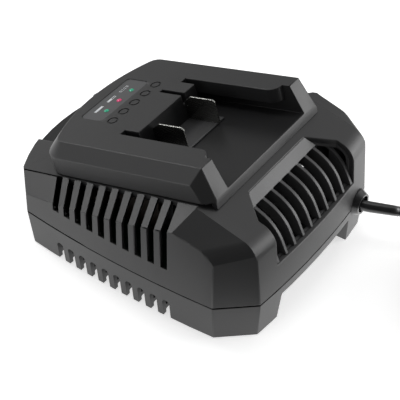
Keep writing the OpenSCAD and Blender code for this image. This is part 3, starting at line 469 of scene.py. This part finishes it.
def moulded_grain_group():
    """Fine spark-eroded grain with slow changes of tone, as moulded plastic has."""
    tree, entry, leave = group_tree(
        "Moulded grain",
        [("Vector", "NodeSocketVector", None), ("Scale", "NodeSocketFloat", 1600.0),
         ("Colour", "NodeSocketColor", (0.05, 0.05, 0.05, 1)), ("Roughness", "NodeSocketFloat", 0.55)],
        [("Colour", "NodeSocketColor"), ("Roughness", "NodeSocketFloat"), ("Height", "NodeSocketFloat")])
    fine = noise(tree, entry.outputs["Vector"], entry.outputs["Scale"], 3.0, 0.6)
    broad = noise(tree, entry.outputs["Vector"], 28.0, 2.0)
    tone = math_node(tree, "ADD", between(tree, broad, 0.94, 1.06), between(tree, fine, -0.09, 0.09))
    mix = tree.nodes.new("ShaderNodeMix")
    mix.data_type = "RGBA"
    mix.blend_type = "MULTIPLY"
    mix.inputs["Factor"].default_value = 1
    tree.links.new(entry.outputs["Colour"], mix.inputs["A"])
    tree.links.new(tone, mix.inputs["B"])
    tree.links.new(mix.outputs["Result"], leave.inputs["Colour"])
    rough = math_node(tree, "ADD", entry.outputs["Roughness"], between(tree, broad, -0.05, 0.05))
    tree.links.new(rough, leave.inputs["Roughness"])
    tree.links.new(fine, leave.inputs["Height"])
    return tree


def moulded_plastic(name, colour, roughness=0.48, bump=0.2, specular=0.5):
    material, tree, shader = new_material(name)
    grain = tree.nodes.new("ShaderNodeGroup")
    grain.node_tree = bpy.data.node_groups.get("Moulded grain") or moulded_grain_group()
    grain.inputs["Colour"].default_value = (*colour, 1)
    grain.inputs["Roughness"].default_value = roughness
    grain.inputs["Scale"].default_value = 1 / finish().grain_size
    tree.links.new(object_coordinates(tree), grain.inputs["Vector"])
    tree.links.new(grain.outputs["Colour"], shader.inputs["Base Color"])
    tree.links.new(grain.outputs["Roughness"], shader.inputs["Roughness"])
    bump_node = tree.nodes.new("ShaderNodeBump")
    bump_node.inputs["Strength"].default_value = bump
    bump_node.inputs["Distance"].default_value = 0.00015
    tree.links.new(grain.outputs["Height"], bump_node.inputs["Height"])
    tree.links.new(bump_node.outputs["Normal"], shader.inputs["Normal"])
    shader.inputs["Specular IOR Level"].default_value = specular
    return material


def brushed_metal(name, colour, roughness=0.32, stretch=(40, 40, 1500)):
    material, tree, shader = new_material(name)
    mapping = tree.nodes.new("ShaderNodeMapping")
    mapping.inputs["Scale"].default_value = stretch
    tree.links.new(object_coordinates(tree), mapping.inputs["Vector"])
    lines = noise(tree, mapping.outputs["Vector"], 3.0, 3.0)
    tree.links.new(two_tone(tree, lines, toned(colour, 0.82), colour), shader.inputs["Base Color"])
    tree.links.new(between(tree, lines, roughness - 0.08, roughness + 0.08), shader.inputs["Roughness"])
    shader.inputs["Metallic"].default_value = 1
    return material


def lit_plastic(name, colour, strength):
    material, tree, shader = new_material(name)
    layer = noise(tree, object_coordinates(tree), 900.0)
    tone = two_tone(tree, layer, toned(colour, 0.8), colour)
    tree.links.new(tone, shader.inputs["Base Color"])
    tree.links.new(tone, shader.inputs["Emission Color"])
    shader.inputs["Emission Strength"].default_value = strength
    shader.inputs["Roughness"].default_value = 0.2
    return material


# The mains lead's line, in millimetres as in the part's source

LEAD_ROUTE = [
    (74, 38.5, 22), (80, 39, 20.8), (88, 42.6, 20.1), (96, 46.8, 19.2), (104, 51, 18.2),
    (112, 54.8, 17), (120, 58.2, 15.6), (129, 61.4, 14), (138, 64, 12.5)]
TAIL_ROUTE = [
    (143.8, 8.8, 2.5), (133.2, 17.9, 3.2), (130, 32, 5.5), (135.4, 44.2, 9.5),
    (146.7, 50.7, 14), (159.5, 48.5, 18.5), (167.2, 40, 22), (169, 32, 23)]
COIL_CENTRE = Vector((150, 32, 0))
COIL_COLUMNS = (34, 29, 24)
COIL_ROWS = (12.5, 7.5, 2.5)
COIL_START = 110.6
COIL_TURNS = 8.6
CROSSING_START = 0.16
TURN_STEPS = 40
RELIEF_POINTS = 10


def smooth_route(route, steps):
    """A smooth line through chosen points, with every span in the same number of steps."""
    points = [Vector(p) for p in route]
    ends = [2 * points[0] - points[1], *points, 2 * points[-1] - points[-2]]
    line = []
    for a, b, c, d in zip(ends, ends[1:], ends[2:], ends[3:]):
        for k in range(steps):
            t = k / steps
            line.append(0.5 * (
                2 * b + (c - a) * t + (2 * a - 5 * b + 4 * c - d) * t ** 2
                + (3 * b - a - 3 * c + d) * t ** 3))
    return line + [points[-1]]


def coil_places():
    """Column and row of each turn: down the outer column, up the middle one, down the inner one."""
    rows = (COIL_ROWS, COIL_ROWS[::-1], COIL_ROWS)
    return [(r, z) for r, column in zip(COIL_COLUMNS, rows) for z in column]


def coil_line():
    """The coil's turns; each crosses to its next place in its own sixth of the way round."""
    windows = (4, 4, 3, 2, 2, 1, 0, 0)
    places = coil_places()
    line = []
    for step in range(int(COIL_TURNS * TURN_STEPS) + 1):
        turns = step / TURN_STEPS
        k = int(turns)
        r, z = places[k]
        if k < len(windows):
            t = min(max(((turns - k) - CROSSING_START - windows[k] / 6) * 6, 0), 1)
            t = t * t * (3 - 2 * t)
            r += (places[k + 1][0] - r) * t
            z += (places[k + 1][1] - z) * t
        angle = math.radians(COIL_START - 360 * turns)
        line.append(COIL_CENTRE + Vector((r * math.cos(angle), r * math.sin(angle), z)))
    return line


def tube_mesh(name, line, radius_at, sides=16):
    """A closed tube along a line, in millimetres, with a radius for each point."""
    bm = bmesh.new()
    rings = []
    for i, point in enumerate(line):
        ahead = line[min(i + 1, len(line) - 1)] - line[max(i - 1, 0)]
        across = Vector((0, 0, 1)).cross(ahead).normalized()
        up = ahead.cross(across).normalized()
        ring = []
        for k in range(sides):
            turn = 2 * math.pi * k / sides
            offset = radius_at(i) * (math.cos(turn) * across + math.sin(turn) * up)
            ring.append(bm.verts.new((point + offset) * MM))
        rings.append(ring)
    for low, high in zip(rings, rings[1:]):
        for k in range(sides):
            j = (k + 1) % sides
            bm.faces.new((low[k], low[j], high[j], high[k]))
    bm.faces.new(rings[0][::-1])
    bm.faces.new(rings[-1])
    bm.normal_update()
    return mesh_from(bm, name)


# Pieces

class CHARGER_OT_stage(bpy.types.Operator):
    """Add the floor, the lamps, the world and the camera"""
    bl_idname = "charger.stage"
    bl_label = "Stage"

    def execute(self, context):
        stage = context.scene.charger_stage
        context.scene.view_settings.view_transform = "Standard"
        self.add_camera(context, stage)
        self.add_floor(context, stage)
        self.add_world(context, stage)
        for name, place, size, power in SOFTBOXES:
            self.add_lamp(context, name, place, size, power)
        return {"FINISHED"}

    def add_camera(self, context, stage):
        camera = bpy.data.cameras.new("camera")
        camera.lens = stage.focal_length
        camera.sensor_width = 36
        camera.shift_x, camera.shift_y = stage.shift
        camera.clip_start = 0.01
        camera.clip_end = 20
        holder = bpy.data.objects.new("camera", camera)
        holder.location = stage.camera_place
        holder.rotation_euler = (math.pi / 2 - stage.elevation, 0, stage.azimuth)
        context.scene.collection.objects.link(holder)
        context.scene.camera = holder

    def add_floor(self, context, stage):
        bm = bmesh.new()
        bmesh.ops.create_grid(bm, x_segments=2, y_segments=2, size=4)
        floor = bpy.data.objects.new("floor", mesh_from(bm, "floor"))
        context.scene.collection.objects.link(floor)
        floor.data.materials.append(self.paper(stage))

    def paper(self, stage):
        """Pale matt paper, white to the eye; a gloss sees it darker beyond the black screen's foot."""
        material, tree, shader = new_material("floor paper")
        shader.inputs["Roughness"].default_value = 0.9
        place = object_coordinates(tree)
        away = tree.nodes.new("ShaderNodeVectorMath")
        away.operation = "LENGTH"
        tree.links.new(place, away.inputs[0])
        near = self.fade(tree, away.outputs["Value"], SCREEN_REACH, (1, 0))
        open_side = math_node(tree, "MAXIMUM", near, self.away_from_screen(tree, place, SCREEN_FLOOR, 0.0))
        path = tree.nodes.new("ShaderNodeLightPath")
        shine = math_node(tree, "MULTIPLY", open_side, self.towards_bright_side(tree, place, -0.3, 1.0))
        seen = math_node(tree, "MULTIPLY", shine, stage.paper_gloss)
        gloss = math_node(tree, "MULTIPLY", path.outputs["Is Glossy Ray"], seen)
        eye = math_node(tree, "MAXIMUM", path.outputs["Is Camera Ray"], path.outputs["Is Transmission Ray"])
        glow = math_node(tree, "ADD", math_node(tree, "MULTIPLY", eye, stage.paper_glow), gloss)
        white = tree.nodes.new("ShaderNodeEmission")
        tree.links.new(glow, white.inputs["Strength"])
        matt = math_node(tree, "SUBTRACT", 1.0, path.outputs["Is Glossy Ray"])
        lit = math_node(tree, "MAXIMUM", matt, open_side)
        tree.links.new(two_tone(tree, lit, (0, 0, 0), stage.floor), shader.inputs["Base Color"])
        both = tree.nodes.new("ShaderNodeAddShader")
        tree.links.new(shader.outputs["BSDF"], both.inputs[0])
        tree.links.new(white.outputs["Emission"], both.inputs[1])
        output = next(n for n in tree.nodes if n.type == "OUTPUT_MATERIAL")
        tree.links.new(both.outputs["Shader"], output.inputs["Surface"])
        return material

    def fade(self, tree, value, span, ends):
        node = tree.nodes.new("ShaderNodeMapRange")
        node.interpolation_type = "SMOOTHSTEP"
        node.inputs["From Min"].default_value, node.inputs["From Max"].default_value = span
        node.inputs["To Min"].default_value, node.inputs["To Max"].default_value = ends
        tree.links.new(value, node.inputs["Value"])
        return node.outputs["Result"]

    def along(self, tree, direction, aim):
        """Cosine between a direction and an aim."""
        flat = tree.nodes.new("ShaderNodeVectorMath")
        flat.operation = "NORMALIZE"
        tree.links.new(direction, flat.inputs[0])
        dot = tree.nodes.new("ShaderNodeVectorMath")
        dot.operation = "DOT_PRODUCT"
        tree.links.new(flat.outputs["Vector"], dot.inputs[0])
        dot.inputs[1].default_value = aim
        return dot.outputs["Value"]

    def away_from_screen(self, tree, direction, screen, least):
        """1 away from the studio's two black screens, falling to the least value towards the front one."""
        front = self.fade(tree, self.along(tree, direction, screen), SCREEN_EDGE, (1, least))
        behind = self.along(tree, direction, BACK_SCREEN)
        back = self.fade(tree, behind, BACK_SCREEN_EDGE, (1, BACK_SCREEN_GLOSS))
        return math_node(tree, "MULTIPLY", front, back)

    def towards_bright_side(self, tree, direction, start, least):
        """A gain that grows from the least value towards the studio's bright side."""
        return self.fade(tree, self.along(tree, direction, BRIGHT_SIDE), (start, 1), (least, BRIGHT_GAIN))

    def add_world(self, context, stage):
        world = bpy.data.worlds.new("studio")
        context.scene.world = world
        world.use_nodes = True
        tree = world.node_tree
        tree.nodes.clear()
        soft = tree.nodes.new("ShaderNodeBackground")
        soft.inputs["Color"].default_value = (1, 1, 1, 1)
        path = tree.nodes.new("ShaderNodeLightPath")
        around = tree.nodes.new("ShaderNodeTexCoord").outputs["Generated"]
        away = self.away_from_screen(tree, around, SCREEN_SIDE, 0.04)
        screen = math_node(tree, "MULTIPLY", away, stage.gloss)
        shine = math_node(tree, "MULTIPLY", screen, self.towards_bright_side(tree, around, 0.0, 0.72))
        glossy = path.outputs["Is Glossy Ray"]
        gloss = math_node(tree, "MULTIPLY", glossy, shine)
        through = path.outputs["Is Transmission Ray"]
        direct = math_node(tree, "MAXIMUM", path.outputs["Is Camera Ray"], through)
        rest = math_node(tree, "SUBTRACT", math_node(tree, "SUBTRACT", 1.0, direct), glossy)
        fill = math_node(tree, "MULTIPLY", rest, stage.sky)
        total = math_node(tree, "ADD", math_node(tree, "ADD", gloss, direct), fill)
        tree.links.new(total, soft.inputs["Strength"])
        output = tree.nodes.new("ShaderNodeOutputWorld")
        tree.links.new(soft.outputs["Background"], output.inputs["Surface"])

    def add_lamp(self, context, name, place, size, power):
        lamp = bpy.data.lights.new(name, "AREA")
        lamp.energy = power
        lamp.size = size
        holder = bpy.data.objects.new(name, lamp)
        holder.location = place
        aim = LAMP_AIM - Vector(place)
        holder.rotation_euler = aim.to_track_quat("-Z", "Y").to_euler()
        context.scene.collection.objects.link(holder)


class CHARGER_OT_mains_lead(bpy.types.Operator):
    """Add the mains lead with its gland, strain relief, coil, tie and plug"""
    bl_idname = "charger.mains_lead"
    bl_label = "Mains lead"

    def execute(self, context):
        vinyl = self.vinyl()
        lead = smooth_route(LEAD_ROUTE, 3)
        relief_line = lead[:RELIEF_POINTS]
        line = lead[1:-1] + coil_line() + smooth_route(TAIL_ROUTE, 5)[1:]
        relief = self.relief(relief_line, vinyl)
        gland = moulded("cord_collar", "cord_gland", vinyl, 0.0003)
        plug = moulded("plug_shell", "plug_body", vinyl, 0.0012, 20)
        pins = moulded("plug_blades", "plug_pins", brushed_metal("plug brass", (0.72, 0.55, 0.3)), 0.0002)
        tie = moulded("lead_tie", "cord_tie", moulded_plastic("tie", finish().cord, 0.6), 0.0003)
        cord = self.cord(context, line, vinyl)
        return {"FINISHED"}

    def vinyl(self):
        material, tree, shader = new_material("black vinyl")
        marks = noise(tree, object_coordinates(tree), 260.0, 3.0)
        tone = two_tone(tree, marks, toned(finish().cord, 0.8), toned(finish().cord, 1.25))
        tree.links.new(tone, shader.inputs["Base Color"])
        tree.links.new(between(tree, marks, 0.24, 0.36), shader.inputs["Roughness"])
        return material

    def relief(self, line, vinyl):
        d = sizes().cord_diameter / MM
        last = len(line) - 1
        mesh = tube_mesh("strain_sleeve", line, lambda i: d / 2 + 0.5 - 0.4 * i / last, 24)
        return add_piece("strain_sleeve", mesh, vinyl, "strain_relief")

    def cord(self, context, line, vinyl):
        curve = bpy.data.curves.new("mains_cord", "CURVE")
        curve.dimensions = "3D"
        curve.bevel_depth = sizes().cord_diameter / 2
        curve.bevel_resolution = 4
        curve.use_fill_caps = True
        spline = curve.splines.new("POLY")
        spline.points.add(len(line) - 1)
        for point, place in zip(spline.points, line):
            point.co = (*(place * MM), 1)
        spline.use_smooth = True
        cord = bpy.data.objects.new("mains_cord", curve)
        context.scene.collection.objects.link(cord)
        curve.materials.append(vinyl)
        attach(cord, BODY)
        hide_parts("power_cord", "cord_coil", "cord_tail")
        return cord


class CHARGER_OT_housing(bpy.types.Operator):
    """Add the upper and lower shells"""
    bl_idname = "charger.housing"
    bl_label = "Housing"

    def execute(self, context):
        plastic = moulded_plastic("housing plastic", finish().housing)
        # Painted shade: a near-black, barely glossy material laid on the faces in the parting line and the
        # rear crease groove
        joint = moulded_plastic("joint shadow", (0.002, 0.002, 0.002), 0.8, 0.0, 0.05)
        darken_faces(moulded("lower_housing", "lower_shell", plastic), joint, self.in_shaded_joint)
        upper = moulded("upper_housing", "upper_shell", plastic)
        darken_faces(upper, joint, self.in_shaded_joint)
        # Painted shade: a low-gloss material that darkens the recess behind the dock
        recess = moulded_plastic("recess painted shade", finish().channel, 0.5, 0.1, 0.15)
        darken_faces(upper, recess, self.in_shaded_recess)
        return {"FINISHED"}

    @staticmethod
    def in_shaded_recess(place, normal):
        """Faces of the recess behind the dock, darkened as painted shade."""
        u, y, w = along_dock(place)
        return u < RECESS_FRONT and w < RECESS_TOP and abs(y) < CREASE - 2 and normal.z > 0.9

    @staticmethod
    def in_shaded_joint(place, normal):
        """Faces of the joint line at the parting height and of the groove along the rear crease, darkened as
        painted shade.
        """
        u, y, w = along_dock(place)
        outside = max(abs(place.x) / MM, abs(y)) > PARTING_INSIDE
        parting = abs(place.z / MM - PARTING) < PARTING_HALF and outside
        crease = u < CREASE_FRONT and abs(abs(y) - CREASE) < CREASE_HALF and w < CREASE_TOP
        return parting or crease


class CHARGER_OT_dock(bpy.types.Operator):
    """Add the battery dock"""
    bl_idname = "charger.dock"
    bl_label = "Dock"

    def execute(self, context):
        plastic = moulded_plastic("dock plastic", finish().dock, 0.5)
        dock = moulded("battery_dock", "dock_cover", plastic, 0.0003)
        # A smoother, less glossy finish for the channel, laid as well on the dock's front strip below it as
        # painted shade
        channel = moulded_plastic("channel plastic and strip shade", finish().channel, 0.34, 0.04, 0.22)
        darken_faces(dock, channel, self.in_channel_and_shaded_strip)
        # Painted shade in the gap between the dock's foot and the upper shell
        darken_faces(dock, bpy.data.materials["joint shadow"], self.in_shaded_joint)
        return {"FINISHED"}

    @staticmethod
    def in_channel_and_shaded_strip(place, normal):
        """Faces of the battery channel, and of the dock's front end below it, which is darkened as painted
        shade.
        """
        u, y, w = along_dock(place)
        lengthwise = CHANNEL_LENGTH[0] < u < CHANNEL_LENGTH[1]
        channel = lengthwise and abs(y) < CHANNEL_HALF and CHANNEL_DEPTH[0] < w < CHANNEL_DEPTH[1]
        return channel or u > 0.5 and w < -15

    @staticmethod
    def in_shaded_joint(place, normal):
        """Faces of the gap between the dock's foot and the upper shell, darkened as painted shade."""
        u, y, w = along_dock(place)
        return DOCK_FOOT[0] < w < DOCK_FOOT[1] and max(abs(y), abs(u) - 40) > 40


class CHARGER_OT_louvre(bpy.types.Operator):
    """Add the louvre panel"""
    bl_idname = "charger.louvre"
    bl_label = "Louvre"

    def execute(self, context):
        plastic = moulded_plastic("louvre plastic", finish().trim, 0.5)
        moulded("louvre_fins", "front_louvre", plastic, 0.0003)
        return {"FINISHED"}


class CHARGER_OT_contacts(bpy.types.Operator):
    """Add the contact blades and their carrier"""
    bl_idname = "charger.contacts"
    bl_label = "Contacts"

    def execute(self, context):
        plated = brushed_metal("plated contact", (0.3, 0.3, 0.285), 0.26)
        moulded("blade_positive", "contact_positive", plated, 0.00015)
        moulded("blade_negative", "contact_negative", plated, 0.00015)
        carrier = moulded_plastic("carrier plastic", finish().trim, 0.5)
        moulded("blade_carrier", "contact_carrier", carrier, 0.0003)
        return {"FINISHED"}


class CHARGER_OT_indicators(bpy.types.Operator):
    """Add the status label, its icons and the lights"""
    bl_idname = "charger.indicators"
    bl_label = "Indicators"

    def execute(self, context):
        film = moulded_plastic("label film", finish().label, 0.45, 0.05)
        moulded("label_plate", "status_label", film, 0.0001)
        ink = moulded_plastic("white ink", (0.78, 0.8, 0.82), 0.5, 0.05)
        moulded("icon_prints", "label_icons", ink, 0.00003)
        r = sizes().light_diameter / MM / 2
        rise, sunk, foot, flange = 0.35 * r, 0.3, -7.8, -7
        angles = [math.pi * k / 12 for k in range(6)]
        dome = [(r * math.cos(a), rise * math.sin(a) - sunk) for a in angles]
        lens = [(0, foot), (r + 0.4, foot), (r + 0.4, flange), (r, flange), *dome, (0, rise - sunk)]
        tilt = Matrix.Rotation(-TILT, 4, "Y")
        green = [tilted(LIGHT_U, y, 0) for y in (-LIGHT_PITCH, LIGHT_PITCH)]
        repeated(
            "green_lights", turned_mesh("green_lens", lens, 24, tilt), green,
            lit_plastic("green lens", (0.02, 0.28, 0.16), 0.35), "green_leds")
        repeated(
            "red_light", turned_mesh("red_lens", lens, 24, tilt), [tilted(LIGHT_U, 0, 0)],
            lit_plastic("red lens", (0.55, 0.03, 0.13), 0.35), "red_led")
        return {"FINISHED"}


class CHARGER_OT_inner_parts(bpy.types.Operator):
    """Finish the parts inside the housing"""
    bl_idname = "charger.inner_parts"
    bl_label = "Inner parts"

    def execute(self, context):
        board = moulded_plastic("board lacquer", (0.004, 0.018, 0.009), 0.45, 0.02)
        ferrite = moulded_plastic("ferrite", (0.02, 0.02, 0.021), 0.6)
        winding = moulded_plastic("taped winding", (0.02, 0.011, 0.004), 0.5, 0.1)
        sleeve = moulded_plastic("capacitor sleeve", (0.015, 0.025, 0.06), 0.3, 0.02)
        alloy = moulded_plastic("black anodised sink", (0.012, 0.012, 0.013), 0.5, 0.05)
        dark = moulded_plastic("black component", (0.008, 0.008, 0.009), 0.5)
        pale = moulded_plastic("fuse ceramic", (0.4, 0.39, 0.36), 0.3, 0.02)
        film = moulded_plastic("film capacitor", (0.16, 0.11, 0.02), 0.4, 0.05)
        rubber = moulded_plastic("foot rubber", (0.018, 0.018, 0.019), 0.8, 0.3)
        screw = brushed_metal("screw steel", (0.42, 0.42, 0.43))
        red = moulded_plastic("red insulation", (0.35, 0.02, 0.02), 0.4, 0.05)
        brown = moulded_plastic("brown insulation", (0.16, 0.06, 0.03), 0.4, 0.05)
        self.add_feet(rubber)
        self.add_screws(screw)
        looks = {
            board: ("indicator_board", "circuit_board"),
            ferrite: ("transformer_core",),
            winding: ("transformer_winding", "filter_choke"),
            sleeve: ("bulk_capacitor", "output_capacitors"),
            alloy: ("heat_sink",),
            dark: ("power_transistors", "fan_cradle", "fan_frame", "fan_rotor", "cord_clamp", "fan_leads"),
            pale: ("fuse",),
            film: ("suppressor_capacitor",),
            screw: ("board_screws",),
            red: ("output_leads",),
            brown: ("mains_leads",),
        }
        for material, nodes in looks.items():
            for node in nodes:
                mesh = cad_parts[node].data
                if not mesh.materials:
                    mesh.materials.append(material)
                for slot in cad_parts[node].material_slots:
                    slot.material = material
        return {"FINISHED"}

    def add_feet(self, rubber):
        low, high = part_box("rubber_feet")
        r = 5
        top = (high[2] - low[2]) / MM
        profile = [(0, 0), (r - 0.8, 0), (r - 0.25, 0.2), (r, 0.7), (r, top), (0, top)]
        inset = r * MM
        along, across = ((low[axis] + inset, high[axis] - inset) for axis in (0, 1))
        places = [(x, y, low[2]) for x in along for y in across]
        repeated("feet", turned_mesh("foot", profile), places, rubber, "rubber_feet")

    def add_screws(self, steel):
        low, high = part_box("housing_screws")
        head, shank = 2.8, 1.5
        length = (high[2] - low[2]) / MM
        profile = [
            (0, 0.9), (0.7, 0.6), (1.2, 0), (head - 0.3, 0), (head, 0.35), (head, 2), (shank, 2),
            (shank, length - 1.5), (shank - 0.6, length), (0, length)]
        places = [(x * MM, side * y * MM, low[2]) for x, y in SCREW_PLACES for side in (-1, 1)]
        repeated("base_screws", turned_mesh("screw", profile), places, steel, "housing_screws", turn_step=0.5)


OPERATORS = (
    CHARGER_OT_stage, CHARGER_OT_mains_lead, CHARGER_OT_housing, CHARGER_OT_dock,
    CHARGER_OT_louvre, CHARGER_OT_contacts, CHARGER_OT_indicators, CHARGER_OT_inner_parts)


class CHARGER_PT_panel(bpy.types.Panel):
    bl_idname = "CHARGER_PT_panel"
    bl_label = "Tool battery charger"
    bl_space_type = "VIEW_3D"
    bl_region_type = "UI"
    bl_category = "Charger"

    def draw(self, context):
        for settings in ("charger_finish", "charger_sizes", "charger_stage"):
            group = getattr(context.scene, settings)
            box = self.layout.box()
            for name in group.bl_rna.properties.keys():
                if name not in ("rna_type", "name"):
                    box.prop(group, name)
        for operator in OPERATORS:
            self.layout.operator(operator.bl_idname)


CLASSES = (ChargerFinish, ChargerSizes, ChargerStage, *OPERATORS, CHARGER_PT_panel)


def register():
    for cls in CLASSES:
        bpy.utils.register_class(cls)
    bpy.types.Scene.charger_finish = bpy.props.PointerProperty(type=ChargerFinish)
    bpy.types.Scene.charger_sizes = bpy.props.PointerProperty(type=ChargerSizes)
    bpy.types.Scene.charger_stage = bpy.props.PointerProperty(type=ChargerStage)


def unregister():
    del bpy.types.Scene.charger_stage
    del bpy.types.Scene.charger_sizes
    del bpy.types.Scene.charger_finish
    for cls in reversed(CLASSES):
        bpy.utils.unregister_class(cls)


def main():
    register()
    bpy.ops.charger.stage()
    bpy.ops.charger.mains_lead()
    bpy.ops.charger.housing()
    bpy.ops.charger.dock()
    bpy.ops.charger.louvre()
    bpy.ops.charger.contacts()
    bpy.ops.charger.indicators()
    bpy.ops.charger.inner_parts()


if __name__ == "__main__":
    main()
